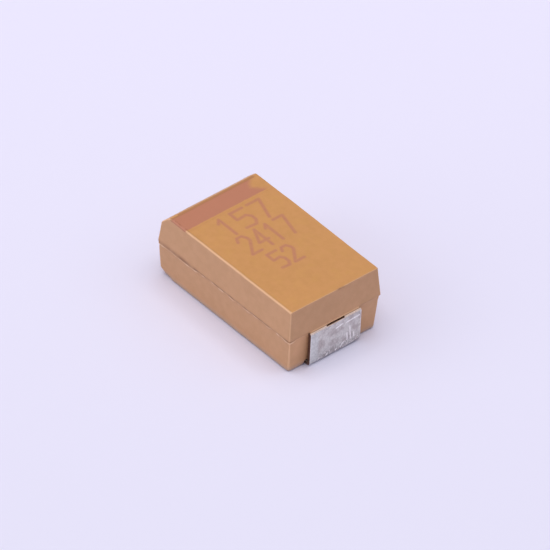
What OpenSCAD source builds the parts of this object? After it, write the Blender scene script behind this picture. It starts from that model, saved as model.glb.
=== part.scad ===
// Moulded tantalum chip capacitor, standard 7343-31 case.
//
// Frame: the origin lies on the board plane under the middle of the part,
// +Z points up, the anode end with the polarity band and bevel faces -X,
// and the cathode end faces +X. All sizes are in millimetres.

/* [Moulded case] */
// Length of the case at its parting line
case_l = 7.1; // [6.8:0.05:7.6]
// Width of the case at its parting line
case_w = 4.2; // [3.8:0.05:4.8]
// Height of the top face above the board
case_h = 2.7; // [2.5:0.05:3.2]
// Height of the parting line above the board
parting_h = 1.5; // [1.4:0.02:1.6]
// Gap between the board and the underside of the case
underside_gap = 0.12; // [0.09:0.01:0.16]
// Draft angle of the upper mould half
upper_draft = 5; // [2:0.5:8]
// Draft angle of the lower mould half
lower_draft = 3; // [2:0.5:6]
// How far the upper half stands out past the lower half all round
ledge = 0.05; // [0.02:0.01:0.08]
// Radius of the four upright corners
corner_r = 0.1; // [0.05:0.01:0.3]
// Radius of the edges round the top face
top_edge_r = 0.07; // [0.04:0.01:0.15]
// Radius of the edges round the underside
bottom_edge_r = 0.13; // [0.05:0.01:0.25]

/* [Polarity mark] */
// Size of the 45 degree bevel on the top edge of the anode end
bevel = 0.34; // [0.15:0.01:0.5]
// Distance from the bevel to the polarity band
band_margin = 0.12; // [0.05:0.01:0.4]
// Width of the polarity band along the case
band_w = 0.8; // [0.4:0.05:1.5]
// Distance from the tips of the band to the far long edge of the top
band_end_gap = 0.2; // [0.1:0.02:0.8]
// Depth of the notch between the two tips of the band
band_notch = 0.3; // [0.1:0.02:0.8]
// Thickness of the band
band_t = 0.02; // [0.01:0.005:0.04]

/* [Underside] */
// Length of the glue pad along the case
glue_pad_l = 3.5; // [2.5:0.1:3.9]
// Width of the glue pad across the case
glue_pad_w = 3.5; // [2.5:0.1:3.6]
// How far the glue pad stands out below the underside
glue_pad_drop = 0.04; // [0.02:0.01:0.07]
// Gap between a foot and the roof of the recess that it lies in
foot_gap = 0.03; // [0.02:0.01:0.08]
// Gap between a foot and the other sides of its recess
foot_side_gap = 0.1; // [0.05:0.01:0.2]

/* [Terminals] */
// Thickness of the lead frame strip
lead_t = 0.13; // [0.1:0.01:0.15]
// Width of each terminal
terminal_w = 2.4; // [2:0.05:2.8]
// Length of each foot, from the terminal's outer face to its tip
foot_l = 1.3; // [1:0.05:1.6]
// How far each terminal's outer face stands out past the case end
lead_reach = 0.1; // [0.09:0.01:0.2]
// Inside radius of the folds outside the case
fold_r = 0.03; // [0.02:0.005:0.06]
// Width of the window at the shoulder of each terminal
window_w = 0.9; // [0.5:0.05:1.2]
// How far the window reaches into the case
window_inside = 0.22; // [0.1:0.01:0.28]

/* [Lead frame inside the case] */
// Length that the strip keeps its full width inside the case
neck_inside = 0.3; // [0.29:0.01:0.34]
// Width of the anode tongue that the wire is welded to
tongue_w = 1.2; // [0.8:0.05:1.8]
// Inside radius of the S bend in the anode tongue
joggle_r = 0.25; // [0.2:0.01:0.3]
// Length of the straight part of the anode tongue
tongue_l = 0.6; // [0.4:0.02:0.65]
// Width of the cathode step and paddle
paddle_w = 2; // [1.2:0.05:2.6]
// Length of the cathode paddle under the element
paddle_l = 2.4; // [1.5:0.1:3]
// Inside radius of the folds of the cathode step
step_fold_r = 0.08; // [0.05:0.01:0.12]
// Distance from the cathode end of the case to the face of the step
step_room = 0.82; // [0.78:0.01:0.95]

/* [Capacitor element] */
// Distance from the anode end of the case to the pellet's wire face
anode_room = 1.76; // [1.74:0.01:1.95]
// Moulding compound beside the element at the parting line
side_cover = 0.43; // [0.35:0.01:0.6]
// Moulding compound above the element
roof_cover = 0.36; // [0.3:0.01:0.5]
// Moulding compound between the underside and the paddle
floor_cover = 0.36; // [0.3:0.01:0.5]
// Radius of the pellet's long edges
pellet_edge_r = 0.2; // [0.1:0.02:0.4]
// Thickness of the manganese dioxide coat
manganese_t = 0.05; // [0.03:0.005:0.08]
// Thickness of the graphite coat
graphite_t = 0.03; // [0.02:0.005:0.05]
// Thickness of the silver coat
silver_t = 0.04; // [0.02:0.005:0.06]
// Distance from the wire face to the rim of the graphite coat
graphite_rim = 0.25; // [0.15:0.01:0.35]
// Distance from the wire face to the rim of the silver coat
silver_rim = 0.45; // [0.36:0.01:0.8]
// Thickness of the silver adhesive
adhesive_t = 0.05; // [0.03:0.01:0.08]
// Height of the adhesive on the step above the bottom of the element
adhesive_climb = 0.5; // [0.3:0.02:0.6]
// Distance that the adhesive stops short of the paddle's edges
adhesive_margin = 0.1; // [0.05:0.01:0.3]

/* [Anode wire] */
// Diameter of the tantalum wire
wire_d = 0.4; // [0.25:0.01:0.45]
// Length of the wire inside the pellet
wire_embedded = 2.8; // [1.5:0.1:3.5]
// Depth that the wire is pressed into its weld flat
weld_flat = 0.03; // [0.01:0.005:0.05]
// Gap between the S bend and the cut end of the wire
wire_end_gap = 0.03; // [0.01:0.01:0.06]
// Outer diameter of the insulating washer
washer_d = 1; // [0.7:0.05:1.1]
// Thickness of the insulating washer
washer_t = 0.14; // [0.1:0.01:0.16]

/* [Hidden] */

// Overlap of a cutting tool past the surface that it cuts
cut = 0.2;
// Straight pieces that stand for a right angle of a rounded edge or fold
arc_steps = 4;
// Angle between neighbouring facets of an upright corner
corner_step = 90 / arc_steps;
// Facets round the wire and its washer
round_fn = 48;

// Case ends and faces
case_end = case_l / 2;
lower_end = case_end - ledge;
top_half_w = case_w / 2 - (case_h - parting_h) * tan(upper_draft);
top_half_l = case_end - (case_h - parting_h) * tan(upper_draft);

// Polarity bevel and band
bevel_x = bevel - top_half_l;
band_x = bevel_x + band_margin;
band_tip_y = top_half_w - band_end_gap;

// Terminals
terminal_x = case_end + lead_reach;
fold_outer_r = fold_r + lead_t;
neck_end = lower_end - neck_inside;
foot_recess_h = lead_t + foot_gap;
foot_tip_x = terminal_x - foot_l;

// Cathode step and paddle
step_x = case_end - step_room;
step_fold_outer_r = step_fold_r + lead_t;
paddle_top = underside_gap + floor_cover + lead_t;

// Capacitor element
coats_t = manganese_t + graphite_t + silver_t;
pellet_bottom = paddle_top + adhesive_t + coats_t;
pellet_top = case_h - roof_cover - coats_t;
pellet_z = (pellet_bottom + pellet_top) / 2;
pellet_h = pellet_top - pellet_bottom;
pellet_w = case_w - 2 * (side_cover + coats_t);
pellet_start = anode_room - case_end;
pellet_end = step_x - adhesive_t - coats_t;

// Anode tongue and wire
tongue_top = pellet_z - wire_d / 2 + weld_flat;
joggle = parting_h - tongue_top;
joggle_mid_r = joggle_r + lead_t / 2;
joggle_angle = sign(joggle) * acos(1 - abs(joggle) / (2 * joggle_mid_r));
joggle_run = 2 * joggle_mid_r * sin(abs(joggle_angle));
tongue_start = joggle_run - neck_end;
wire_end = tongue_start + wire_end_gap;

// Points along an arc of n pieces about centre c
function arc(c, r, from, to, n = arc_steps) =
    [for (i = [0:n]) c + r * [cos(from + (to - from) * i / n), sin(from + (to - from) * i / n)]];

// Outline of a rectangle with rounded corners, centred on the origin
function rounded_rectangle(w, h, r) = concat(
    arc([w / 2 - r, h / 2 - r], r, 0, 90),
    arc([r - w / 2, h / 2 - r], r, 90, 180),
    arc([r - w / 2, r - h / 2], r, 180, 270),
    arc([w / 2 - r, r - h / 2], r, 270, 360)
);

// Distance from the axis to the side of a round-cornered block, seen along angle a
function reach(l, w, a) =
    (l / 2 - corner_r) * abs(cos(a)) + (w / 2 - corner_r) * abs(sin(a)) + corner_r;

// Lean of a drafted block's side, seen along angle a
function lean(draft, a) = atan(tan(draft) * (abs(cos(a)) + abs(sin(a))));

// Side view of a drafted half: half width s at its base, height h, edge radius r
function half_profile(s, h, lean, r) =
    let (centre = [s - (h - r) * tan(lean) - r / cos(lean), h - r])
    let (edge = arc(centre, r, lean, 90))
    concat([[s, 0]], edge, [for (i = [len(edge) - 1:-1:0]) [-edge[i].x, edge[i].y]], [[-s, 0]]);

// Stations [x, z, heading] along the middle of a folded strip. Each fold is
// [straight length before it, angle that it turns to the left, inside radius].
function stations(folds, at, i = 0) =
    i == len(folds) ? [at] :
    let (dir = at[2], turn = folds[i][1], r = folds[i][2] + lead_t / 2)
    let (p = [at[0], at[1]] + folds[i][0] * [cos(dir), sin(dir)])
    let (c = p + sign(turn) * r * [-sin(dir), cos(dir)])
    let (n = turn == 0 ? 0 : arc_steps)
    let (bend = [for (k = [1:1:n])
        let (h = dir + turn * k / n)
        [c.x + sign(turn) * r * sin(h), c.y - sign(turn) * r * cos(h), h]])
    let (last = n == 0 ? [p.x, p.y, dir] : bend[n - 1])
    concat([at], n == 0 ? [] : [[p.x, p.y, dir]],
        [for (k = [0:1:n - 2]) bend[k]], stations(folds, last, i + 1));

// Side view of a folded strip, from its stations
function strip_outline(path) = concat(
    [for (s = path) [s[0], s[1]] + lead_t / 2 * [-sin(s[2]), cos(s[2])]],
    [for (i = [len(path) - 1:-1:0])
        let (s = path[i]) [s[0], s[1]] - lead_t / 2 * [-sin(s[2]), cos(s[2])]]
);

// Extrudes a side view drawn in X and Z to width w, centred on the XZ plane
module across(w) {
    rotate([90, 0, 0])
        linear_extrude(w, center = true)
            children();
}

// Strip of width w folded along the folds, from station at
module folded_strip(folds, at, w) {
    across(w)
        polygon(strip_outline(stations(folds, at)));
}

// One half of the mould's shape: a drafted block on the z = 0 plane
module mould_half(l, w, h, draft, edge_r) {
    intersection_for(a = [0:corner_step:180 - corner_step])
        rotate(a)
            across(2 * l)
                polygon(half_profile(reach(l, w, a), h, lean(draft, a), edge_r));
}

// Cuts the bevel that marks the anode end
module bevel_cutter() {
    side = 2 * bevel + cut;
    translate([bevel_x, 0, case_h])
        rotate([0, -45, 0])
            translate([-side, -case_w / 2 - cut, 0])
                cube([side + cut, case_w + 2 * cut, side]);
}

// Outer shape of the case before the band and the inner pieces are taken out
module case_outline() {
    difference() {
        translate([0, 0, parting_h])
            mould_half(case_l, case_w, case_h - parting_h, upper_draft, top_edge_r);
        bevel_cutter();
    }
    difference() {
        translate([0, 0, parting_h])
            mirror([0, 0, 1])
                mould_half(2 * lower_end, case_w - 2 * ledge, parting_h - underside_gap,
                    lower_draft, bottom_edge_r);
        for (side = [-1, 1])
            foot_recess(side);
    }
    glue_pad();
}

// Shallow recess in the underside that a foot lies in
module foot_recess(side) {
    inner = foot_tip_x - foot_side_gap;
    recess_w = terminal_w + 2 * foot_side_gap;
    translate([side > 0 ? inner : -inner - foot_l - cut, -recess_w / 2, 0])
        cube([foot_l + cut, recess_w, foot_recess_h]);
}

// Raised land in the middle of the underside that takes the glue dot
module glue_pad() {
    translate([-glue_pad_l / 2, -glue_pad_w / 2, underside_gap - glue_pad_drop])
        cube([glue_pad_l, glue_pad_w, glue_pad_drop + bottom_edge_r]);
}

// Field that the band fills, with two tips at its far end
module band_field() {
    near_y = -case_w / 2;
    translate([band_x, 0, case_h - band_t])
        linear_extrude(band_t + cut)
            polygon([
                [0, near_y],
                [band_w, near_y],
                [band_w, band_tip_y],
                [band_w / 2, band_tip_y - band_notch],
                [0, band_tip_y],
            ]);
}

// Window across the shoulder of a cathode-side terminal
module shoulder_window() {
    centre = [terminal_x - fold_outer_r, parting_h - fold_outer_r];
    inner = lower_end - window_inside;
    reach_out = 2 * fold_outer_r;
    across(window_w)
        polygon([
            [inner, centre.y],
            centre,
            centre + reach_out * [cos(45), sin(45)],
            [inner, parting_h + cut],
        ]);
}

// Foot, terminal face and neck, as folded at the cathode end
module terminal() {
    rise = parting_h - 2 * fold_outer_r;
    neck = terminal_x - fold_outer_r - neck_end;
    difference() {
        folded_strip(
            [[foot_l - fold_outer_r, 90, fold_r], [rise, 90, fold_r], [neck, 0, 0]],
            [foot_tip_x, lead_t / 2, 0], terminal_w);
        shoulder_window();
    }
}

// Block with rounded long edges round the pellet, grown by t on its four sides
module element_block(from, to, t) {
    translate([from, 0, pellet_z])
        rotate([90, 0, 90])
            linear_extrude(to - from)
                polygon(rounded_rectangle(pellet_w + 2 * t, pellet_h + 2 * t, pellet_edge_r + t));
}

module pellet_shape() {
    element_block(pellet_start, pellet_end, 0);
}

module manganese_shape() {
    element_block(pellet_start - manganese_t, pellet_end + manganese_t, manganese_t);
}

module graphite_shape() {
    t = manganese_t + graphite_t;
    element_block(pellet_start + graphite_rim, pellet_end + t, t);
}

module silver_shape() {
    element_block(pellet_start + silver_rim, pellet_end + coats_t, coats_t);
}

// Straight round rod along X
module rod(from, to, d) {
    translate([from, 0, pellet_z])
        rotate([0, 90, 0])
            cylinder(h = to - from, d = d, $fn = round_fn);
}

// Moulded epoxy case
module moulded_case() {
    color([0.78, 0.58, 0.36])
        difference() {
            case_outline();
            band_field();
            anode_lead();
            cathode_lead();
            rod(wire_end, pellet_start, wire_d);
            rod(pellet_start - washer_t, pellet_start, washer_d);
            manganese_shape();
            graphite_shape();
            silver_shape();
            silver_adhesive();
        }
}

// Printed band that marks the anode end
module polarity_band() {
    color([0.72, 0.46, 0.38])
        intersection() {
            case_outline();
            band_field();
        }
}

// Anode terminal and the tongue that carries the wire
module anode_lead() {
    color([0.74, 0.74, 0.76])
        mirror([1, 0, 0]) {
            terminal();
            folded_strip(
                [[0, joggle_angle, joggle_r], [0, -joggle_angle, joggle_r], [tongue_l, 0, 0]],
                [neck_end, parting_h - lead_t / 2, 180], tongue_w);
        }
}

// Cathode terminal, the step down beside the element and the paddle under it
module cathode_lead() {
    run = neck_end - step_x - step_fold_outer_r;
    drop = parting_h - step_fold_outer_r - paddle_top - step_fold_r;
    color([0.74, 0.74, 0.76]) {
        terminal();
        folded_strip(
            [[run, 90, step_fold_r], [drop, -90, step_fold_r], [paddle_l - step_fold_r, 0, 0]],
            [neck_end, parting_h - lead_t / 2, 180], paddle_w);
    }
}

// Tantalum wire, with the flat where it is welded to the tongue
module anode_wire() {
    color([0.5, 0.52, 0.56])
        difference() {
            rod(wire_end, pellet_start + wire_embedded, wire_d);
            anode_lead();
        }
}

// Insulating washer on the wire, against the pellet
module insulating_washer() {
    color([0.95, 0.95, 0.93])
        difference() {
            rod(pellet_start - washer_t, pellet_start, washer_d);
            rod(pellet_start - washer_t - cut, pellet_start + cut, wire_d);
        }
}

// Sintered tantalum pellet
module tantalum_pellet() {
    color([0.33, 0.33, 0.36])
        difference() {
            pellet_shape();
            rod(pellet_start - cut, pellet_start + wire_embedded, wire_d);
        }
}

// Manganese dioxide coat, closed all round but for the washer
module manganese_dioxide_coat() {
    color([0.16, 0.15, 0.15])
        difference() {
            manganese_shape();
            pellet_shape();
            rod(pellet_start - washer_t, pellet_start, washer_d);
        }
}

// Graphite coat, open at the wire face
module graphite_coat() {
    color([0.22, 0.22, 0.23])
        difference() {
            graphite_shape();
            manganese_shape();
        }
}

// Silver coat, open at the wire face
module silver_coat() {
    color([0.83, 0.83, 0.84])
        difference() {
            silver_shape();
            graphite_shape();
            manganese_shape();
        }
}

// Silver adhesive between the coated element and the cathode paddle and step
module silver_adhesive() {
    adhesive_w = paddle_w - 2 * adhesive_margin;
    start = step_x - paddle_l + adhesive_margin;
    top = paddle_top + adhesive_t + adhesive_climb;
    color([0.66, 0.66, 0.68])
        difference() {
            translate([start, -adhesive_w / 2, paddle_top])
                cube([step_x - start, adhesive_w, top - paddle_top]);
            silver_shape();
            cathode_lead();
        }
}

moulded_case();
polarity_band();
anode_lead();
cathode_lead();
anode_wire();
insulating_washer();
tantalum_pellet();
manganese_dioxide_coat();
graphite_coat();
silver_coat();
silver_adhesive();
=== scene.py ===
"""Moulded tantalum chip capacitor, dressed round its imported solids.

Lengths are in millimetres until a mesh is made.
"""
import math

import bmesh
import bpy
import numpy as np
from mathutils import Matrix, Vector, noise


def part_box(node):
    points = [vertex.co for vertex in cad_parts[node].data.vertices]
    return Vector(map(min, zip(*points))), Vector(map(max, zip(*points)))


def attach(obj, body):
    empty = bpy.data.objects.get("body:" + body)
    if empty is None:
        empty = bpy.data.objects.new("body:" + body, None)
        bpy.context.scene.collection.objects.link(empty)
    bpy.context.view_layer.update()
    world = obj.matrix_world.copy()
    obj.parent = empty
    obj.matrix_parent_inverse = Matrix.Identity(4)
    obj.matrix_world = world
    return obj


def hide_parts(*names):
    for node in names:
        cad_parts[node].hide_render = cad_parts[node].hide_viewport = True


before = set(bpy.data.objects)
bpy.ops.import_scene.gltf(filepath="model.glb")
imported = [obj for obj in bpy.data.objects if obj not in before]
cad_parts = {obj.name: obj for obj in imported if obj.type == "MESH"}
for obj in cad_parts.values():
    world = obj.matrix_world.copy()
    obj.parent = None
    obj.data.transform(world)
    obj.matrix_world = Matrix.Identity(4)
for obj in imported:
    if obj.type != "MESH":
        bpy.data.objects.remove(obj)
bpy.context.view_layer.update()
MM = 0.001


# ---- Camera ---------------------------------------------------------------
# A long lens some 25 cm away looks down on the part from beyond the near
# corner of the cathode end, almost without perspective.

CAMERA_AZIMUTH = math.radians(47.62)
CAMERA_ELEVATION = math.radians(39.71)
CAMERA_ROLL = math.radians(2.83)
CAMERA_DISTANCE = 253.6
CAMERA_LENS = 475.0
AIM_HEIGHT = 1.42
AIM_RIGHT = 0.2135
AIM_UP = -0.2204

back = Vector((
    math.sin(CAMERA_AZIMUTH) * math.cos(CAMERA_ELEVATION),
    -math.cos(CAMERA_AZIMUTH) * math.cos(CAMERA_ELEVATION),
    math.sin(CAMERA_ELEVATION),
))
level_right = (-back).cross(Vector((0, 0, 1))).normalized()
level_up = level_right.cross(-back)
right = math.cos(CAMERA_ROLL) * level_right + math.sin(CAMERA_ROLL) * level_up
up = math.cos(CAMERA_ROLL) * level_up - math.sin(CAMERA_ROLL) * level_right
aim = Vector((0, 0, AIM_HEIGHT)) + AIM_RIGHT * right + AIM_UP * up

camera = bpy.data.objects.new("camera", bpy.data.cameras.new("camera"))
bpy.context.scene.collection.objects.link(camera)
bpy.context.scene.camera = camera
camera.data.lens = CAMERA_LENS
camera.data.clip_start = 0.01
camera.matrix_world = (
    Matrix.Translation((aim + CAMERA_DISTANCE * back) * MM)
    @ Matrix((right, up, back)).transposed().to_4x4()
)


# ---- Lead frame -----------------------------------------------------------
# The two leads are blanked from one strip of nickel-iron, 0.13 mm thick and
# plated with matte tin. Each is folded down the end of the case and under
# it. Inside, the anode's tongue dips to meet the wire, and the cathode's
# paddle steps down under the element.

class Field:
    """A value or colour that varies over a surface, with Python's operators."""

    def __init__(self, finish, socket):
        self.finish = finish
        self.socket = socket

    def math(self, operation, *others, clamp=False):
        settings = {"operation": operation, "use_clamp": clamp}
        return self.finish.node("ShaderNodeMath", settings, dict(enumerate((self, *others))))

    def __add__(self, other):
        return self.math("ADD", other)

    def __sub__(self, other):
        return self.math("SUBTRACT", other)

    def __mul__(self, other):
        return self.math("MULTIPLY", other)

    def __truediv__(self, other):
        return self.math("DIVIDE", other)

    def __rsub__(self, other):
        return self.finish.node("ShaderNodeMath", {"operation": "SUBTRACT"}, {0: other, 1: self})

    __radd__ = __add__
    __rmul__ = __mul__

    def within(self, low, high, smooth=True):
        """0 at low and 1 at high, either of which may be the larger."""
        settings = {"interpolation_type": "SMOOTHSTEP" if smooth else "LINEAR", "clamp": True}
        return self.finish.node("ShaderNodeMapRange", settings, {0: self, 1: low, 2: high})

    def clamped(self):
        return self.math("ADD", 0.0, clamp=True)


class Finish:
    """A material and the nodes that vary it over the surface."""

    def __init__(self, name, **constants):
        self.material = bpy.data.materials.new(name)
        self.material.use_nodes = True
        self.tree = self.material.node_tree
        self.shader = self.tree.nodes["Principled BSDF"]
        for socket, value in constants.items():
            self.shader.inputs[socket.replace("_", " ")].default_value = value

    def node(self, kind, settings=None, inputs=None, output=0):
        """Adds a node: its settings first, then its sockets' values or links."""
        made = self.tree.nodes.new(kind)
        for name, value in (settings or {}).items():
            setattr(made, name, value)
        for socket, value in (inputs or {}).items():
            self.join(made.inputs[socket], value)
        return Field(self, made.outputs[output])

    def join(self, socket, value):
        if isinstance(value, Field):
            self.tree.links.new(value.socket, socket)
        elif socket.type == "RGBA":
            socket.default_value = (*value, 1.0)
        else:
            socket.default_value = value

    def place(self):
        """Position on the piece in millimetres."""
        at = self.node("ShaderNodeTexCoord", output="Object")
        settings = {"operation": "SCALE"}
        return self.node("ShaderNodeVectorMath", settings, {0: at, "Scale": 1 / MM})

    def axes(self, vector):
        """The three components of a vector."""
        split = self.node("ShaderNodeSeparateXYZ", None, {0: vector})
        outputs = split.socket.node.outputs
        return [Field(self, outputs[i]) for i in range(3)]

    def attribute(self, name):
        return self.node("ShaderNodeAttribute", {"attribute_name": name}, output="Fac")

    def noise(self, size, detail=2.0, stretch=(1, 1, 1), rough=0.5):
        """Noise from 0 to 1 whose features are about size millimetres across."""
        inputs = {"Vector": self.place(), "Scale": stretch}
        scaled = self.node("ShaderNodeMapping", None, inputs)
        return self.node("ShaderNodeTexNoise", None, {
            "Vector": scaled, "Scale": 1.0 / size, "Detail": detail, "Roughness": rough})

    def mix(self, factor, a, b):
        """Colour a, turning to colour b as the factor goes from 0 to 1."""
        settings = {"data_type": "RGBA"}
        return self.node("ShaderNodeMix", settings, {0: factor, 6: a, 7: b}, output=2)

    def shade(self, colour, factor):
        """Colour times a grey factor."""
        settings = {"operation": "SCALE"}
        return self.node("ShaderNodeVectorMath", settings, {0: colour, "Scale": factor})

    def bump(self, height, depth):
        """A normal from a height of 0 to 1 that stands for depth millimetres."""
        return self.node("ShaderNodeBump", None, {"Height": height, "Distance": depth * MM})

    def wear(self, **varying):
        """Links varying values to the shader's sockets."""
        for socket, value in varying.items():
            self.join(self.shader.inputs[socket.replace("_", " ")], value)
        return self.material


def piece(name, vertices, faces, material):
    """A smooth mesh piece in the part's frame from corners in millimetres."""
    mesh = bpy.data.meshes.new(name)
    mesh.from_pydata([tuple(v * MM for v in p) for p in vertices], [], faces)
    mesh.materials.append(material)
    mesh.polygons.foreach_set("use_smooth", [True] * len(mesh.polygons))
    mesh.update()
    made = bpy.data.objects.new(name, mesh)
    bpy.context.scene.collection.objects.link(made)
    return made


def box_mm(node):
    low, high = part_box(node)
    return low / MM, high / MM


def strokes_distance(u, v, strokes):
    """Distance in millimetres to the nearest of straight strokes
    ((u, v), (u, v)) drawn on the plane of two coordinates."""
    nearest = None
    for (au, av), (bu, bv) in strokes:
        du, dv = bu - au, bv - av
        length = du * du + dv * dv
        share = ((u - au) * (du / length) + (v - av) * (dv / length)).clamped()
        pu, pv = u - au - share * du, v - av - share * dv
        square = pu * pu + pv * pv
        nearest = square if nearest is None else nearest.math("MINIMUM", square)
    return nearest.math("SQRT")


LEAD_SHIFT = -0.04
TERMINAL_W = 2.32
# Places between which a finish of the tin sets in, from none to full: along
# the case, across it, from the strip's middle or edge, where a highlight is
# painted along the rims, and under the shoulder, where a cream highlight is
# painted below a resin stain whose brown also paints the shade under the lip.
END_X = (3.4, 3.5)
BURNISHED_Y = (-0.75, -0.9)
SCUFF_REACH = (0.045, 0.016)
RIM_HIGHLIGHT_INSET = (0.045, 0.02)
SHOULDER_HIGHLIGHT_DROP = (0.115, 0.09)
STAIN_AND_SHADE_DROP = (0.05, 0.04)
# Scuffs of the tin on the cathode's face, as (across, height) strokes.
SCUFFS = (
    ((0.61, 0.93), (0.66, 0.34)),
    ((0.49, 0.66), (0.51, 0.36)),
    ((0.45, 1.17), (1.02, 1.21)),
    ((-0.03, 1.14), (0.26, 1.2)),
    ((0.79, 0.56), (0.83, 0.36)),
    ((0.36, 0.34), (0.22, 0.2)),
    ((0.02, 0.2), (-0.02, 0.12)),
    ((-0.4, 0.2), (-0.44, 0.12)),
    ((-0.78, 0.16), (-0.82, 0.1)),
)


def tin_plate(name):
    """Matte tin with dull patches and bright scuffs, and a painted highlight
    along the rims of each face. The strip's sheared edges are bare and
    painted darker as shade in the gap by the case. Resin stains the
    shoulder where it leaves the case, and its brown paints the shade under
    the lip; below it a cream band is a painted highlight on the fold."""
    tin = Finish(name)
    x, y, z = tin.axes(tin.place())
    facing = tin.axes(tin.node("ShaderNodeNewGeometry", output="Normal"))
    grain = tin.noise(0.06, detail=4, stretch=(1, 1, 0.6), rough=0.65)
    cloud = tin.noise(0.3, detail=3)
    speckle = tin.noise(0.03, detail=2)
    dull = cloud.within(0.4, 0.66)
    blotch = tin.noise(0.1, detail=3, rough=0.6)
    low = z.within(0.6, 0.1)
    pitted = blotch.within(0.6, 0.45) * low
    scuff = tin.noise(0.085, detail=4, stretch=(1, 2.6, 0.7), rough=0.6).within(0.61, 0.68)
    fleck = tin.noise(0.07, detail=3, stretch=(1, 1.6, 0.9), rough=0.6).within(0.56, 0.62)
    scuff = (scuff * 0.4 + fleck * low).clamped()
    wobble = (tin.noise(0.05, detail=2) - 0.5) * 0.05
    drawn = (strokes_distance(y, z, SCUFFS) + wobble).within(*SCUFF_REACH)
    drawn = drawn * x.within(*END_X)
    aside = (y - LEAD_SHIFT).math("ABSOLUTE")
    # Painted highlight: a light rim along both side edges of the strip.
    rim_highlight = aside.within(*(TERMINAL_W / 2 - inset for inset in RIM_HIGHLIGHT_INSET))
    burnished = y.within(*BURNISHED_Y) * x.within(*END_X)
    scuff_and_rim_highlight = (scuff * (1 - burnished) + drawn * 0.9 + rim_highlight * 0.5).clamped()
    colour = tin.mix(dull, (0.69, 0.67, 0.63), (0.55, 0.5, 0.475))
    colour = tin.mix(burnished * 0.8, colour, (0.68, 0.69, 0.665))
    colour = tin.mix(pitted * 0.6 * (1 - burnished), colour, (0.34, 0.325, 0.31))
    colour = tin.mix(scuff_and_rim_highlight, colour, (0.95, 0.93, 0.9))
    # Painted highlight: a cream band on the shoulder, where the fold catches the light.
    shoulder = z.within(*(parting_z - drop for drop in SHOULDER_HIGHLIGHT_DROP))
    # Resin stains the top of the shoulder, and the same brown paints the shade under the case's
    # lip.
    stain_and_lip_shade = z.within(*(parting_z - drop for drop in STAIN_AND_SHADE_DROP))
    colour = tin.mix(shoulder, colour, (0.97, 0.79, 0.64))
    colour = tin.mix(stain_and_lip_shade, colour, (0.42, 0.22, 0.1))
    # The sheared edges are bare metal, painted darker still as shade in the gap beside the case.
    sheared = facing[1].math("ABSOLUTE").within(0.6, 0.85)
    colour = tin.mix(sheared, colour, (0.16, 0.085, 0.06))
    colour = tin.shade(colour, 0.9 + 0.17 * grain.within(0.38, 0.62))
    rough = 0.34 + 0.14 * dull + 0.12 * speckle - 0.1 * scuff_and_rim_highlight
    height = grain * 0.4 + speckle * 0.3 + scuff_and_rim_highlight * 0.5 - pitted * 0.5
    return tin.wear(
        Base_Color=colour, Roughness=rough, Metallic=1 - 0.7 * stain_and_lip_shade - 0.5 * sheared,
        Normal=tin.bump(height, 0.005))


STRIP_T = 0.13
FOLD_R = 0.03
FOLD_STEPS = 12
STRIP_STEP = 0.07
SHEAR_R = 0.012
SLIVER = 0.0001
SHARP = math.radians(50)
WORN_DEPTH = 0.17
WORN_FROM_Y = 0.8
WORN_W = 0.36
WORN_H = 0.34
WINDOW_W = 0.82
WINDOW_START = 0.33
NECK_INSIDE = 0.3
LEDGE = 0.05


def walk(folds, at):
    """Stations (x, z, heading) along the middle of a strip. Each fold is
    (straight length before it, angle it turns left, inside radius)."""
    x, z, heading = at
    stations = [at]
    for straight, turn, inside in folds:
        steps = max(1, math.ceil(straight / STRIP_STEP))
        for _ in range(steps if straight > 0 else 0):
            x += straight / steps * math.cos(heading)
            z += straight / steps * math.sin(heading)
            stations.append((x, z, heading))
        side = math.copysign(1, turn)
        radius = inside + STRIP_T / 2
        cx = x - side * radius * math.sin(heading)
        cz = z + side * radius * math.cos(heading)
        for step in range(1, FOLD_STEPS + 1 if turn else 1):
            angle = heading + turn * step / FOLD_STEPS
            x = cx + side * radius * math.sin(angle)
            z = cz - side * radius * math.cos(angle)
            stations.append((x, z, angle))
        heading += turn
    return stations


def cut(x, y, z):
    """How far the strip's far lower corner is worn back from its edge."""
    corner = max(0, (y - WORN_FROM_Y) / WORN_W) * max(0, 1 - z / WORN_H) ** 2
    return WORN_DEPTH * corner if x > 2 else 0.0


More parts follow.
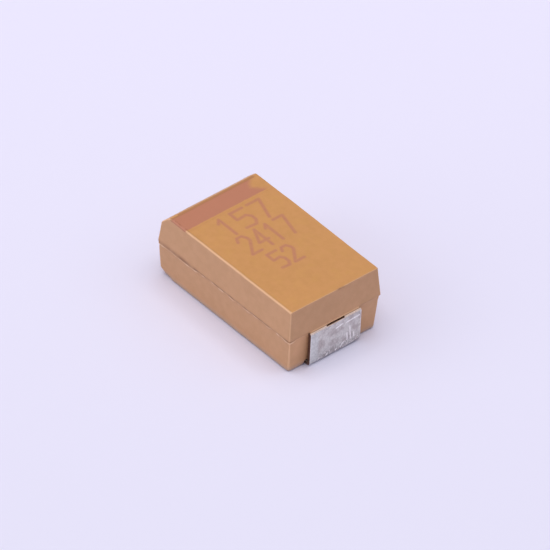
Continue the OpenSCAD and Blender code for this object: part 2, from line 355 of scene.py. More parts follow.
def strip(name, outer, inner, width, inner_width, window, flip, material):
    """A folded strip: outer stations at full width, inner ones narrower.
    window is the first and last station of the opening at the shoulder."""
    stations = outer + inner[1:]
    edges = {width / 2, inner_width / 2, WINDOW_W / 2}
    columns = sorted({s * e for s in (-1, 1) for e in edges} | {0.0})
    fine = []
    for a, b in zip(columns, columns[1:]):
        steps = max(1, round((b - a) / STRIP_STEP))
        fine += [a + (b - a) * i / steps for i in range(steps)]
    fine.append(columns[-1])
    flat = bmesh.new()
    grid = []
    for x, z, _ in stations:
        across = [y + LEAD_SHIFT - cut(x, y, z) for y in fine]
        grid.append([flat.verts.new((flip * x * MM, y * MM, z * MM)) for y in across])
    for i in range(len(stations) - 1):
        for j in range(len(fine) - 1):
            middle = abs(fine[j] + fine[j + 1]) / 2
            narrow = i >= len(outer) - 1 and middle > inner_width / 2
            opening = window[0] <= i < window[1] and middle < WINDOW_W / 2
            if not narrow and not opening:
                corners = [grid[i][j], grid[i + 1][j], grid[i + 1][j + 1], grid[i][j + 1]]
                flat.faces.new(corners if flip > 0 else corners[::-1])
    loose = [v for v in flat.verts if not v.link_faces]
    bmesh.ops.delete(flat, geom=loose, context="VERTS")
    mesh = bpy.data.meshes.new(name)
    flat.to_mesh(mesh)
    flat.free()
    mesh.materials.append(material)
    made = bpy.data.objects.new(name, mesh)
    bpy.context.scene.collection.objects.link(made)
    plate = made.modifiers.new("strip", "SOLIDIFY")
    plate.thickness = STRIP_T * MM
    plate.offset = 0
    plate.use_even_offset = True
    shear = made.modifiers.new("sheared edges", "BEVEL")
    shear.width = SHEAR_R * MM
    shear.segments = 2
    shear.angle_limit = SHARP
    return settle(made)


def settle(made):
    """Applies a piece's modifiers and leaves a plain smooth mesh without
    slivers."""
    bpy.context.view_layer.update()
    evaluated = made.evaluated_get(bpy.context.evaluated_depsgraph_get())
    mesh = bpy.data.meshes.new_from_object(evaluated)
    clean = bmesh.new()
    clean.from_mesh(mesh)
    bmesh.ops.dissolve_degenerate(clean, dist=SLIVER * MM, edges=clean.edges)
    clean.to_mesh(mesh)
    clean.free()
    made.modifiers.clear()
    made.data = mesh
    mesh.polygons.foreach_set("use_smooth", [True] * len(mesh.polygons))
    return made


_, anode_high = box_mm("anode_lead")
cathode_low, cathode_high = box_mm("cathode_lead")
_, case_high = box_mm("moulded_case")
parting_z = cathode_high.z
terminal_x = cathode_high.x
case_end = case_high.x
foot_l = 1.3
outer_r = FOLD_R + STRIP_T
neck_x = case_end - LEDGE - NECK_INSIDE

terminal_folds = [
    (foot_l - outer_r, math.pi / 2, FOLD_R),
    (parting_z - 2 * outer_r, math.pi / 2, FOLD_R),
    (terminal_x - outer_r - neck_x, 0.0, 0.0),
]
terminal = walk(terminal_folds, (terminal_x - foot_l, STRIP_T / 2, 0.0))
foot_steps = math.ceil((foot_l - outer_r) / STRIP_STEP)
face_steps = math.ceil((parting_z - 2 * outer_r) / STRIP_STEP)
shoulder = foot_steps + FOLD_STEPS + face_steps
window_ends = (
    shoulder + round(FOLD_STEPS * WINDOW_START),
    shoulder + FOLD_STEPS + math.ceil((terminal_x - outer_r - neck_x) / STRIP_STEP) - 1,
)

PADDLE_W = 2.0
STEP_FOLD_R = 0.08
adhesive_low, adhesive_high = box_mm("silver_adhesive")
step_x = adhesive_high.x
paddle_top = adhesive_low.z
paddle_l = step_x - cathode_low.x
step_r = STEP_FOLD_R + STRIP_T
cathode_inner = walk(
    [
        (neck_x - step_x - step_r, math.pi / 2, STEP_FOLD_R),
        (parting_z - step_r - paddle_top - STEP_FOLD_R, -math.pi / 2, STEP_FOLD_R),
        (paddle_l - STEP_FOLD_R, 0.0, 0.0),
    ],
    (neck_x, parting_z - STRIP_T / 2, math.pi),
)

TONGUE_W = 1.2
JOGGLE_R = 0.25
WELD_FLAT = 0.03
wire_low, wire_high = box_mm("anode_wire")
washer_low, washer_high = box_mm("insulating_washer")
wire_z = (washer_low.z + washer_high.z) / 2
wire_r = (wire_high.y - wire_low.y) / 2
tongue_top = wire_z - wire_r + WELD_FLAT
joggle_angle = math.acos(1 - (parting_z - tongue_top) / (2 * JOGGLE_R + STRIP_T))
tongue_tip = -anode_high.x
tongue_l = neck_x - (2 * JOGGLE_R + STRIP_T) * math.sin(joggle_angle) - tongue_tip
anode_inner = walk(
    [(0.0, joggle_angle, JOGGLE_R), (0.0, -joggle_angle, JOGGLE_R), (tongue_l, 0.0, 0.0)],
    (neck_x, parting_z - STRIP_T / 2, math.pi),
)

tinned = tin_plate("matte_tin")
for name, inner, inner_w, flip in (
    ("cathode_lead", cathode_inner, PADDLE_W, 1),
    ("anode_lead", anode_inner, TONGUE_W, -1),
):
    lead = strip("tinned_" + name, terminal, inner, TERMINAL_W, inner_w, window_ends, flip, tinned)
    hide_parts(name)
    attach(lead, "root")


# ---- Element --------------------------------------------------------------
# Inside the case: the sintered pellet on its wire, the washer that keeps the
# coats off the wire, the three cathode coats and the adhesive that bonds
# them to the paddle. They are sealed in, and their CAD solids carry them.

def coat(name, colour, spots, size, rough, metal, depth):
    """A grainy finish: colour, turning to spots over patches of that size."""
    made = Finish(name, Metallic=metal)
    patch = made.noise(size, detail=4, rough=0.65)
    grain = made.noise(size / 6, detail=2)
    tint = made.mix(patch.within(0.4, 0.65), colour, spots)
    made.wear(
        Base_Color=made.shade(tint, 0.85 + 0.3 * grain),
        Roughness=rough + 0.15 * patch,
        Normal=made.bump(grain * 0.6 + patch * 0.4, depth),
    )
    return made.material


# Colour, spots, size of the spots, roughness, metal and depth of the relief.
ELEMENT_FINISHES = {
    "tantalum_pellet": ((0.12, 0.12, 0.13), (0.17, 0.17, 0.18), 0.12, 0.7, 0.6, 0.02),
    "anode_wire": ((0.3, 0.31, 0.34), (0.36, 0.37, 0.4), 0.2, 0.35, 1.0, 0.003),
    "insulating_washer": ((0.85, 0.85, 0.83), (0.8, 0.8, 0.78), 0.3, 0.4, 0.0, 0.003),
    "manganese_dioxide_coat": ((0.03, 0.028, 0.027), (0.05, 0.045, 0.042), 0.1, 0.8, 0.0, 0.012),
    "graphite_coat": ((0.06, 0.06, 0.065), (0.08, 0.08, 0.085), 0.15, 0.5, 0.2, 0.006),
    "silver_coat": ((0.62, 0.62, 0.62), (0.52, 0.52, 0.52), 0.2, 0.45, 0.8, 0.006),
    "silver_adhesive": ((0.5, 0.5, 0.5), (0.4, 0.4, 0.4), 0.1, 0.55, 0.6, 0.01),
}
for node, (colour, spots, size, rough, metal, depth) in ELEMENT_FINISHES.items():
    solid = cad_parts[node]
    solid.data.materials.clear()
    solid.data.materials.append(coat(node + "_finish", colour, spots, size, rough, metal, depth))


# ---- Moulded case ---------------------------------------------------------
# Epoxy filled with silica, moulded round the leads and the element in one
# shot between two drafted mould halves. The upper half stands out past the
# lower one, and trimmed flash is left in the step at the parting line.

UPPER_DRAFT = math.radians(5)
LOWER_DRAFT = math.radians(2.4)
CORNER_R = 0.045
FOOT_CORNER_R = 0.11
NEAR_EDGE_R = 0.07
FAR_EDGE_R = 0.035
BOTTOM_EDGE_R = 0.06
BEVEL = 0.34
BEVEL_SOFTNESS = 0.018
CROWN_RISE = 0.055
CROWN_START = (2.5, -1.9)
CROWN_SPAN = (4, 3.8)
UNDERSIDE_GAP = 0.03
GLUE_PAD = 3.5
GLUE_PAD_DROP = 0.015
FOOT_GAP = 0.03
FOOT_SIDE_GAP = 0.1
CASE_STEP = 0.05
CORNER_STEPS = 6
MARK_GAP = 0.006

half = np.array([case_high.x, case_high.y])
lower_half = half - LEDGE
case_top = case_high.z
top_half = half - (case_top - parting_z) * math.tan(UPPER_DRAFT)
bottom_half = lower_half - (parting_z - UNDERSIDE_GAP) * math.tan(LOWER_DRAFT)
bevel_x = BEVEL - top_half[0]
recess_x = terminal_x - foot_l - FOOT_SIDE_GAP
recess_y = cathode_high.y + FOOT_SIDE_GAP


def stops(marks, straight, step):
    """Places along a straight side as shares of half its length, with two
    stops close on either side of each mark that falls on it."""
    marks = [m for m in marks if abs(m) + MARK_GAP < straight]
    ends = sorted({-straight, straight, *(m + s * MARK_GAP for m in marks for s in (-1, 1))})
    places = []
    for a, b in zip(ends, ends[1:]):
        steps = max(1, math.ceil((b - a) / step))
        places += [a + (b - a) * i / steps for i in range(steps)]
    return np.array(places + [straight]) / straight


def perimeter(x_stops, y_stops):
    """Once round a rounded rectangle, from the middle of its (-X, -Y) corner:
    the place along the sides as shares, and the outward direction."""
    shares, outward = [], []
    sides = [
        (x_stops, 0, -1), (y_stops, 1, 1), (x_stops[::-1], 0, 1), (y_stops[::-1], 1, -1),
    ]
    for quarter, (along, axis, side) in enumerate(sides):
        direction = [0, 0]
        direction[1 - axis] = side
        first = math.pi * (1.25 + 0.5 * quarter)
        corner = [along[0], side] if axis == 0 else [side, along[0]]
        for step in range(CORNER_STEPS // 2):
            angle = first + math.pi / 2 * step / CORNER_STEPS
            shares.append(corner)
            outward.append([math.cos(angle), math.sin(angle)])
        for share in along:
            shares.append([share, side] if axis == 0 else [side, share])
            outward.append(direction)
        corner = [along[-1], side] if axis == 0 else [side, along[-1]]
        for step in range(1, CORNER_STEPS // 2):
            angle = first + math.pi / 4 + math.pi / 2 * step / CORNER_STEPS
            shares.append(corner)
            outward.append([math.cos(angle), math.sin(angle)])
    return np.array(shares, float), np.array(outward, float)


marks_x = [-recess_x, -GLUE_PAD / 2, GLUE_PAD / 2, recess_x]
marks_y = [-GLUE_PAD / 2, -recess_y, recess_y, GLUE_PAD / 2]
straight = bottom_half - BOTTOM_EDGE_R - FOOT_CORNER_R
x_stops = stops(marks_x, straight[0], CASE_STEP)
y_stops = stops(marks_y, straight[1], CASE_STEP)
shares, outward = perimeter(x_stops, y_stops)
ring_n = len(shares)
across_n = len(x_stops) + CORNER_STEPS
along_n = len(y_stops) + CORNER_STEPS


def ring(size, inset, corner_r=CORNER_R):
    """Points round the case of half size (x, y), inset all round."""
    inset = np.broadcast_to(np.asarray(inset, float), ring_n)[:, None]
    return shares * (size - inset - corner_r) + corner_r * outward


def soft_floor(value, softness):
    """max(value, 0) with a rounded corner."""
    return softness * np.logaddexp(0, value / softness)


def roof(x, y):
    """Height of the case's top, which falls away at the polarity bevel and
    has shrunk a trace less at the far anode corner."""
    along = np.clip((CROWN_START[0] - x) / CROWN_SPAN[0], 0, 1)
    across = np.clip((y - CROWN_START[1]) / CROWN_SPAN[1], 0, 1)
    rise = CROWN_RISE * along * across
    return case_top + rise - soft_floor(bevel_x - x, BEVEL_SOFTNESS)


def underside(x, y):
    """Height of the case's underside, with the glue pad and foot recesses."""
    height = np.full(np.shape(x), UNDERSIDE_GAP)
    pad = np.maximum(abs(x), abs(y)) < GLUE_PAD / 2
    recess = (abs(x) > recess_x) & (abs(y) < recess_y)
    height = np.where(pad, UNDERSIDE_GAP - GLUE_PAD_DROP, height)
    return np.where(recess, STRIP_T + FOOT_GAP, height)


def smooth(share):
    share = np.clip(share, 0, 1)
    return share * share * (3 - 2 * share)


def wander(size, seed):
    """Noise of about -1 to 1 round the perimeter, in patches of that size."""
    place = ring(half, 0.0) / size
    return 1.7 * np.array([noise.noise(Vector((p[0], p[1], seed))) for p in place])


# Per point: a painted highlight on the edges, painted shade at the seam, and the flash's pale
# colour, partly painted highlight.
rows, edge, seam, flash = [], [], [], []


def add_row(xy, z, edge_highlight_value=0.0, seam_shade_value=0.0, flash_and_highlight_value=0.0):
    rows.append(np.column_stack([xy, np.broadcast_to(z, ring_n)]))
    # Painted highlight: full on rounded edges facing the low light on the long side, weaker
    # elsewhere, and on the upright corners.
    upright_highlight = 1.4 * abs(outward[:, 0] * outward[:, 1])
    near = np.where(outward[:, 1] < -0.3, 1.0, 0.45)
    edge.append(np.maximum(edge_highlight_value * near, upright_highlight))
    seam.append(np.broadcast_to(seam_shade_value, ring_n))
    flash.append(np.broadcast_to(flash_and_highlight_value, ring_n))


EDGE_STEPS = 5
UPPER_STEPS = 20
LOWER_STEPS = 26
BLEED_W = TERMINAL_W - 0.02
CHIP_DEPTH = 0.045
CHIP_X = 3.3
CHIP_Y = 0.26
CHIP_HALF_W = 0.24
SEAM_SHADE_H = 0.11
FLARE = 0.028
FLARE_CUT = 0.09
FLARE_CUT_DROP = 1.15
FLARE_CUT_H = 0.3

# How the seam varies round the case, in shape, in its painted shade and in
# the flash's colour. Towards the anode end the flash is cut lower and
# smoother; a bead of resin has bled onto each lead's shoulder.
around = ring(half, 0.0)
at_end = smooth((abs(outward[:, 0]) - 0.8) / 0.15)
anode_part = smooth((-1.3 - around[:, 0]) / 0.5)
corner_flash = smooth((around[:, 0] - 3.1) / 0.3) * smooth((-around[:, 1] - 1.75) / 0.2)
quiet = 1 - 0.75 * at_end * (around[:, 0] > 0) * (1 - corner_flash)
bleed = at_end * smooth((BLEED_W / 2 - abs(around[:, 1] - LEAD_SHIFT)) / 0.04)
window = bleed * smooth((WINDOW_W / 2 + 0.03 - abs(around[:, 1] - LEAD_SHIFT)) / 0.03)
ledge_drop = 0.07 + 0.022 * wander(0.8, 1) + 0.008 * wander(0.2, 2) + 0.055 * anode_part
ridge = np.clip(0.4 + 0.4 * wander(0.5, 5) + 0.5 * anode_part + corner_flash, 0, 1) * quiet
ridge_h = np.clip(0.05 + 0.03 * wander(0.22, 9) - 0.02 * anode_part, 0.015, 0.1)
# pale: the flash's lighter colour, partly thin resin and partly painted highlight where it catches
# the light.
pale = 0.3 + 0.65 * wander(0.17, 13) + 0.3 * anode_part + 0.5 * corner_flash
pale = np.clip(pale, 0, 1.2) * quiet
# dark: the depth of the painted shade in the seam's step.
dark = np.clip(0.78 + 0.5 * wander(0.25, 17), 0.15, 1) * quiet
near_anode = smooth((-2.9 - around[:, 0]) / 0.5) * smooth((-around[:, 1] - 1.4) / 0.5)


def seam_row(plain, bead):
    """A row of the seam: (drop, inset, dark, pale) for the plain seam and
    for the bead on the leads, which take over from each other. dark is
    painted shade, and pale is the flash's colour, partly painted highlight."""
    drop, inset, seam_shade_value, flash_and_highlight_value = (
        (1 - bleed) * a + bleed * b for a, b in zip(plain, bead))
    add_row(ring(half, inset), parting_z - drop, seam_shade_value=seam_shade_value, flash_and_highlight_value=flash_and_highlight_value)


# From the middle of the top outwards and down to the underside.
top_edge_r = FAR_EDGE_R + (NEAR_EDGE_R - FAR_EDGE_R) * smooth(-outward[:, 1])
top_xy = ring(top_half, 0.0)
wall_top = roof(top_xy[:, 0], top_xy[:, 1])
for _ in range(3):
    lean = (wall_top - top_edge_r - parting_z) * math.tan(UPPER_DRAFT)
    top_xy = ring(half, lean)
    wall_top = roof(top_xy[:, 0], top_xy[:, 1])
# A chip is knocked out of the top edge over the cathode, its hollow painted dark as shade.
bite = smooth((top_xy[:, 0] - CHIP_X) / 0.1)
bite = bite * smooth(1 - abs(around[:, 1] - CHIP_Y) / CHIP_HALF_W)
bite = bite * np.clip(0.7 + 0.6 * wander(0.09, 21), 0, 1)
for step in range(EDGE_STEPS, -1, -1):
    angle = math.pi / 2 * step / EDGE_STEPS
    chip = CHIP_DEPTH * bite
    xy = ring(half, lean + top_edge_r * (1 - math.cos(angle)) + chip * math.cos(angle))
    z = roof(xy[:, 0], xy[:, 1]) - top_edge_r * (1 - math.sin(angle)) - chip * math.sin(angle)
    add_row(xy, z, edge_highlight_value=math.sin(2 * angle), seam_shade_value=bite * (step < EDGE_STEPS))
wall_foot = parting_z + SEAM_SHADE_H
for step in range(1, UPPER_STEPS + 1):
    z = wall_top - top_edge_r + (wall_foot - wall_top + top_edge_r) * step / UPPER_STEPS
    add_row(ring(half, (z - parting_z) * math.tan(UPPER_DRAFT)), z)
# Painted shade fades up the upper wall from the step.
fade = dark * (0.15 + 0.4 * anode_part) * (1 - bleed)
add_row(ring(half, 0.0045), parting_z + 0.05, seam_shade_value=fade * 0.6)
add_row(ring(half, 0.001), parting_z + 0.012, seam_shade_value=fade)
seam_row(
    (0.012, 0.01 - 0.006 * anode_part, dark, 0), (0.004, -0.008, 0, 0.3))
seam_row(
    (ledge_drop * 0.8, 0.032 - 0.018 * anode_part, dark, 0), (0.014, -0.022, 0, 0.45))
seam_row(
    (ledge_drop, LEDGE * (1 - 0.7 * ridge), 0.5 * dark, 0.5 * pale), (0.022, -0.03, 0, 0.45))
seam_row(
    (ledge_drop + 0.012, LEDGE * (1 - 0.85 * ridge), 0, pale), (0.032, -0.03, 0.1, 0.3))
# Under each bead the wall is painted dark as shade, and so is the case where it shows through a
# lead's window.
seam_row(
    (ledge_drop + ridge_h, LEDGE * (1 - 0.8 * ridge), 0, pale * 0.8), (0.038, 0.02, 1, 0))
seam_row(
    (ledge_drop + ridge_h + 0.014, LEDGE * (1 - 0.1 * ridge), 0.25 * dark, 0),
    (0.08, LEDGE, window, 0))
seam_row(
    (ledge_drop + ridge_h + 0.05, LEDGE, 0, 0), (0.22, LEDGE, window, 0))
start = rows[-1][:, 2]
# Near the anode corner the lower wall flares a trace, then draws in.
low_xy = ring(bottom_half, 0.0)
wall_low = underside(low_xy[:, 0], low_xy[:, 1])
for step in range(1, LOWER_STEPS + 1):
    z = start + (wall_low + BOTTOM_EDGE_R - start) * step / LOWER_STEPS
    below = parting_z - z
    cut_away = smooth((below - FLARE_CUT_DROP) / FLARE_CUT_H)
    flare = near_anode * (FLARE - FLARE_CUT * cut_away)
    corner_r = CORNER_R + (FOOT_CORNER_R - CORNER_R) * (step / LOWER_STEPS) ** 2
    add_row(ring(lower_half, below * math.tan(LOWER_DRAFT) - flare, corner_r), z)
lean = (parting_z - wall_low - BOTTOM_EDGE_R) * math.tan(LOWER_DRAFT)
for step in range(1, EDGE_STEPS + 1):
    angle = math.pi / 2 * step / EDGE_STEPS
    xy = ring(lower_half, lean - flare + BOTTOM_EDGE_R * (1 - math.cos(angle)), FOOT_CORNER_R)
    add_row(xy, underside(xy[:, 0], xy[:, 1]) + BOTTOM_EDGE_R * (1 - math.sin(angle)),
            edge_highlight_value=0.5 * math.sin(2 * angle))


def cap(border, height):
    """Fills a row with a grid whose edge is that row: the points inside it,
    and the places of the grid's four corners along the row."""
    corners = [0, across_n - 1, across_n + along_n - 2, 2 * across_n + along_n - 3]
    south = border[corners[0]:corners[1] + 1]
    east = border[corners[1]:corners[2] + 1]
    north = border[corners[2]:corners[3] + 1][::-1]
    west = np.vstack([border[corners[3]:], border[:1]])[::-1]
    u = (south[:, 0] - south[0, 0]) / (south[-1, 0] - south[0, 0])
    v = (west[:, 1] - west[0, 1]) / (west[-1, 1] - west[0, 1])
    u, v = u[None, :, None], v[:, None, None]
    blend = (1 - v) * south[None] + v * north[None] + (1 - u) * west[:, None] + u * east[:, None]
    blend -= (1 - u) * (1 - v) * south[0] + u * (1 - v) * south[-1]
    blend -= (1 - u) * v * north[0] + u * v * north[-1]
    inside = blend[1:-1, 1:-1].reshape(-1, 2)
    return np.column_stack([inside, height(inside[:, 0], inside[:, 1])]), corners


def cap_grid(first, inner_first, corners):
    """Point numbers of a cap's grid: the row's own round the edge."""
    grid = np.zeros((along_n, across_n), int)
    number = first + np.arange(ring_n)
    grid[0] = number[corners[0]:corners[1] + 1]
    grid[:, -1] = number[corners[1]:corners[2] + 1]
    grid[-1] = number[corners[2]:corners[3] + 1][::-1]
    grid[:, 0] = np.append(number[corners[3]:], number[0])[::-1]
    grid[1:-1, 1:-1] = inner_first + np.arange((along_n - 2) * (across_n - 2)).reshape(
        along_n - 2, across_n - 2)
    return grid


wall_points = np.vstack(rows)
top_inside, corners = cap(rows[0][:, :2], roof)
bottom_inside, _ = cap(rows[-1][:, :2], underside)
points = np.vstack([wall_points, top_inside, bottom_inside])


def over_points(values):
    """A share given row by row, over every point, with none inside the caps."""
    return np.concatenate(values + [np.zeros(len(top_inside) + len(bottom_inside))])


edge_highlight_all = over_points(edge)
# Painted highlight along the crease of the polarity bevel.
bevel_highlight = 0.5 * np.exp(-((points[:, 0] - bevel_x) / 0.03) ** 2) * (points[:, 2] > case_top - 0.1)
edge_highlight_all = np.maximum(edge_highlight_all, bevel_highlight)
seam_shade_all, flash_and_highlight_all = over_points(seam), over_points(flash)

faces = []
for row in range(len(rows) - 1):
    a = row * ring_n + np.arange(ring_n)
    b = row * ring_n + (np.arange(ring_n) + 1) % ring_n
    faces += np.column_stack([a, a + ring_n, b + ring_n, b]).tolist()
top_grid = cap_grid(0, len(wall_points), corners)
bottom_grid = cap_grid((len(rows) - 1) * ring_n, len(wall_points) + len(top_inside), corners)
for grid, turn in ((top_grid, 1), (bottom_grid, -1)):
    quads = np.stack([grid[:-1, :-1], grid[:-1, 1:], grid[1:, 1:], grid[1:, :-1]], -1)
    faces += quads.reshape(-1, 4)[:, ::turn].tolist()

# Mould wear and shrinkage leave every face very slightly uneven.
WAVES = ((1.1, 0.01), (0.35, 0.004))
WAVE_SHIFTS = (Vector((0, 0, 0)), Vector((5.2, 1.3, 8.1)), Vector((2.7, 9.4, 3.3)))
uneven = np.array([
    [
        sum(noise.noise(Vector(p) / size + shift) * height for size, height in WAVES)
        for shift in WAVE_SHIFTS
    ]
    for p in points
])
points = points + uneven * [1, 1, 0.5]


def epoxy(name, ink, outline):
    """Filled epoxy. ink and outline are shares of print over the surface,
    each worked out from the finish and the place on the piece."""
    made = Finish(name)
    x, y, z = made.axes(made.place())
    normal_z = made.axes(made.node("ShaderNodeNewGeometry", output="Normal"))[2]
    top = normal_z.within(0.72, 0.92)
    cloud = made.noise(1.6, detail=3)
    mottle = made.noise(0.3, detail=4, rough=0.6)
    warm = made.noise(0.45, detail=3)
    grain = made.noise(0.035, detail=2)
    pits = made.noise(0.055, detail=2).within(0.76, 0.8)
    # Top and sides take colours by facing: partly the top's own finish, partly painted light, the
    # sides carrying a tint of the lavender floor.
    side = made.mix(mottle.within(0.3, 0.7), (0.595, 0.326, 0.164), (0.56, 0.306, 0.148))
    crown = made.mix(mottle.within(0.3, 0.7), (0.602, 0.286, 0.09), (0.572, 0.273, 0.08))
    crown = made.mix(warm.within(0.45, 0.7) * 0.4, crown, (0.6, 0.3, 0.078))
    colour = made.mix(top, side, crown)
    # Painted highlight on the rounded edges and the bevel's crease.
    colour = made.mix(made.attribute("edge") * 0.75, colour, (0.86, 0.53, 0.29))
    # Pale flash: partly the thin resin's own colour, partly painted highlight.
    colour = made.mix(made.attribute("flash").clamped() * 0.75, colour, (0.82, 0.58, 0.38))
    # Painted shade at the seam's step, in the chip and under the resin beads.
    colour = made.mix(made.attribute("seam") * 0.8, colour, (0.26, 0.105, 0.042))
    # Painted shade: the walls turn greyer over their lowest 0.28 mm, by the floor.
    colour = made.mix(z.within(0.28, 0.05) * 0.9, colour, (0.49, 0.335, 0.24))
    colour = made.mix(pits * 0.4, colour, (0.3, 0.15, 0.08))
    colour = made.mix(ink(made, x, y) * 0.85, colour, (0.475, 0.177, 0.106))
    colour = made.mix(outline(made, x, y) * 0.55, colour, (0.32, 0.12, 0.055))
    # Painted light: the cathode end is a trace brighter below the parting line, most towards the
    # near corner.
    end_foot_light = x.within(*END_X) * z.within(1.52, 1.42)
    end_foot_light = end_foot_light * (0.07 + 0.13 * y.within(-1.25, -1.7))
    colour = made.shade(colour, 0.93 + 0.1 * cloud + 0.05 * grain + end_foot_light)
    rough = 0.52 + 0.1 * mottle - 0.04 * top
    height = grain * 0.6 + mottle * 0.4 - pits * 0.6
    made.wear(Base_Color=colour, Roughness=rough, Normal=made.bump(height, 0.004))
    return made.material


# Each figure as one line of knots, on a field 4 wide and 6 high.
DIGITS = {
    "1": "0.8,4.8 2,6 2,0",
    "2": "0,4.8 1,6 3,6 4,4.8 4,3.9 0,0 4,0",
    "4": "3,0 3,6 0,2 4,2",
    "5": "4,6 0,6 0,3.4 3,3.6 4,2.6 4,1.2 3,0 0,0.2",
    "7": "0,6 4,6 1.6,0",
}
# Rows of plain digits, each with the height of its baseline along the case,
# its start and step across the case, and the height and width of a digit.
MARKING = [
    ("157", -0.98, -0.98, 0.78, 0.98, 0.55),
    ("2417", 0.22, -0.98, 0.59, 1.0, 0.42),
    ("52", 1.42, -0.62, 0.56, 0.88, 0.4),
]
STROKE_W = 0.062
STROKE_SOFT = 0.045


def digit_strokes():
    """Straight strokes ((x, y), (x, y)) of the marking, read along +Y."""
    for text, base, start, step, height, width in MARKING:
        for place, figure in enumerate(text):
            knots = [tuple(map(float, knot.split(","))) for knot in DIGITS[figure].split()]
            at = [
                (base - height * v / 6, start + step * place + width * u / 4) for u, v in knots
            ]
            yield from zip(at, at[1:])


def digit_ink(made, x, y):
    """Share of ink of the marking: strokes with soft, uneven edges."""
    wobble = (made.noise(0.16, detail=2) - 0.5) * 0.04
    distance = strokes_distance(x, y, digit_strokes()) + wobble
    z = made.axes(made.place())[2]
    on_top = z.within(case_top - 0.05, case_top - 0.03)
    worn = 0.82 + 0.9 * (made.noise(0.16, detail=3) - 0.5)
    return distance.within(STROKE_W + STROKE_SOFT, STROKE_W - STROKE_SOFT) * on_top * worn


def no_ink(made, x, y):
    return 0.0 * x


def carry_shares(made, chosen=slice(None)):
    """Gives a piece its points' shares of painted edge highlight, painted seam
    shade and pale flash, which is partly painted highlight.
    """
    for name, values in (("edge", edge_highlight_all), ("seam", seam_shade_all), ("flash", flash_and_highlight_all)):
        layer = made.data.attributes.new(name, "FLOAT", "POINT")
        layer.data.foreach_set("value", np.asarray(values[chosen], np.float32))


case = piece(
    "epoxy_case", points, faces, epoxy("moulded_epoxy", digit_ink, no_ink))
carry_shares(case)
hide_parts("moulded_case")
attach(case, "root")


# ---- Polarity band --------------------------------------------------------
# A red-brown band printed across the top of the anode end. It wraps a little
# over the near edge and fades between two tips at its far end.

band_low, band_high = box_mm("polarity_band")
BAND_LIFT = 0.003
BAND_T = 0.015
BAND_WRAP = 0.1
BAND_LINE_W = 0.05
BAND_NOTCH = 0.38
BAND_MARGIN = 0.07
BAND_FADE_DROP = (0.075, 0.055)


def band_ink(made, x, y):
    """Ink that thins out between two tips at the far end."""
    wobble = (made.noise(0.2, detail=3) - 0.5) * 0.06
    middle = (band_low.x + band_high.x) / 2
    half_w = (band_high.x - band_low.x) / 2
    aside = (x - middle).math("ABSOLUTE")
    sides = (aside + wobble).within(half_w + 0.015, half_w - 0.045)
    notch = (1 - aside / half_w) * BAND_NOTCH + (x - middle).within(0.15, -0.25) * 0.12
    fade = (y + notch + wobble * 3).within(band_high.y + 0.14, band_high.y - 0.24)
    height = made.axes(made.place())[2]
    return sides * fade * height.within(*(case_top - drop for drop in BAND_FADE_DROP))


def band_line(made, x, y):
    """The darker line along the anode side and the near end of the band."""
    wobble = (made.noise(0.3, detail=3) - 0.5) * 0.03
    along = (x + wobble).within(band_low.x + BAND_LINE_W, band_low.x + 0.01)
    along = along * y.within(band_high.y + 0.08, band_high.y - 0.05)
    near = (y + wobble).within(band_low.y + 0.03, band_low.y - 0.03)
    height = made.axes(made.place())[2]
    line = (along + near * 0.5).clamped()
    return line * height.within(*(case_top - drop for drop in BAND_FADE_DROP))


def on_band(centre):
    x, y, z = centre
    return (
        band_low.x - BAND_MARGIN < x < band_high.x + BAND_MARGIN
        and band_low.y - 0.2 < y < band_high.y + 0.12
        and z > case_top - BAND_WRAP
    )


corner_mean = points[np.array(faces)].mean(1)
band_faces = [face for face, centre in zip(faces, corner_mean) if on_band(centre)]
used = sorted({v for face in band_faces for v in face})
renumber = {v: i for i, v in enumerate(used)}
band = piece(
    "printed_band", points[used], [[renumber[v] for v in face] for face in band_faces],
    epoxy("band_print", band_ink, band_line))
carry_shares(band, used)
film = band.modifiers.new("film", "SOLIDIFY")
film.thickness = (BAND_LIFT + BAND_T) * MM
film.offset = BAND_LIFT / (BAND_LIFT + BAND_T) * 2 - 1
settle(band)
band.data.set_sharp_from_angle(angle=SHARP)
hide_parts("polarity_band")
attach(band, "root")


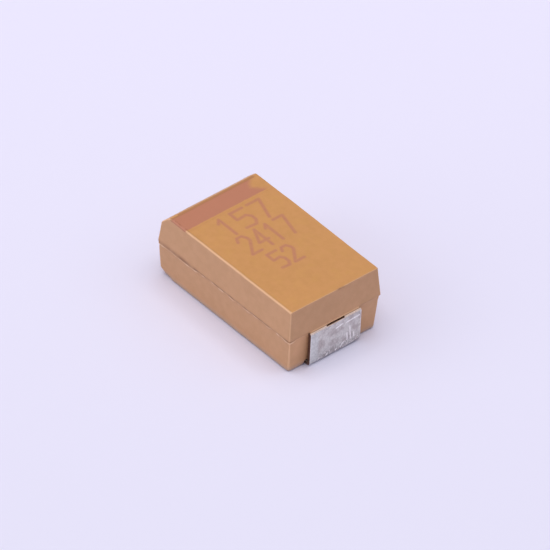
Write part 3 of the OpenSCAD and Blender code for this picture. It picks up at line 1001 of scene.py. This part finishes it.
# ---- Studio ---------------------------------------------------------------
# A pale lavender sweep whose colour is painted a shade lighter towards the
# back, as the light falls there, in soft light from all round: a large box
# overhead, weaker ones behind and on the left, and a low one that faces the
# long side.

FLOOR_HALF = 1.5
FLOOR_DROP = 0.002
LAMP_SIZE = 0.35
LAMP_DISTANCE = 0.42

floor_mesh = bpy.data.meshes.new("floor")
floor_mesh.from_pydata(
    [
        (x * FLOOR_HALF, y * FLOOR_HALF, -FLOOR_DROP * MM)
        for x, y in ((-1, -1), (1, -1), (1, 1), (-1, 1))
    ],
    [], [(0, 1, 2, 3)])
floor = bpy.data.objects.new("floor", floor_mesh)
bpy.context.scene.collection.objects.link(floor)
paper = Finish("floor_paper", Roughness=0.9)
paper.shader.inputs["Specular IOR Level"].default_value = 0.1
paper_x, paper_y, _ = paper.axes(paper.place())
# Painted light: the floor's colour grows a shade lighter towards the back.
depth = (paper_y * 0.67 - paper_x * 0.74).within(-18, 18, smooth=False)
floor_mesh.materials.append(paper.wear(
    Base_Color=paper.mix(depth, (0.78, 0.768, 0.885), (0.836, 0.812, 0.945))))

world = bpy.data.worlds.new("studio")
bpy.context.scene.world = world
world.use_nodes = True
sky = world.node_tree.nodes["Background"]
sky.inputs["Color"].default_value = (0.83, 0.80, 0.96, 1)
sky.inputs["Strength"].default_value = 0.464


def softbox(name, azimuth, elevation, power):
    """A square area lamp that points at the part."""
    turn, rise = math.radians(azimuth), math.radians(elevation)
    place = Vector((
        math.cos(turn) * math.cos(rise), math.sin(turn) * math.cos(rise), math.sin(rise)))
    lamp = bpy.data.lights.new(name, "AREA")
    lamp.size, lamp.energy = LAMP_SIZE, power
    made = bpy.data.objects.new(name, lamp)
    made.location = LAMP_DISTANCE * place
    made.rotation_euler = (-place).to_track_quat("-Z", "Y").to_euler()
    bpy.context.scene.collection.objects.link(made)


softbox("overhead_light", 0, 90, 0.875)
softbox("left_light", 225, 48, 0.28)
softbox("back_light", 45, 48, 0.19)
softbox("low_light", 250, 17, 0.38)

bpy.context.scene.view_settings.view_transform = "Standard"
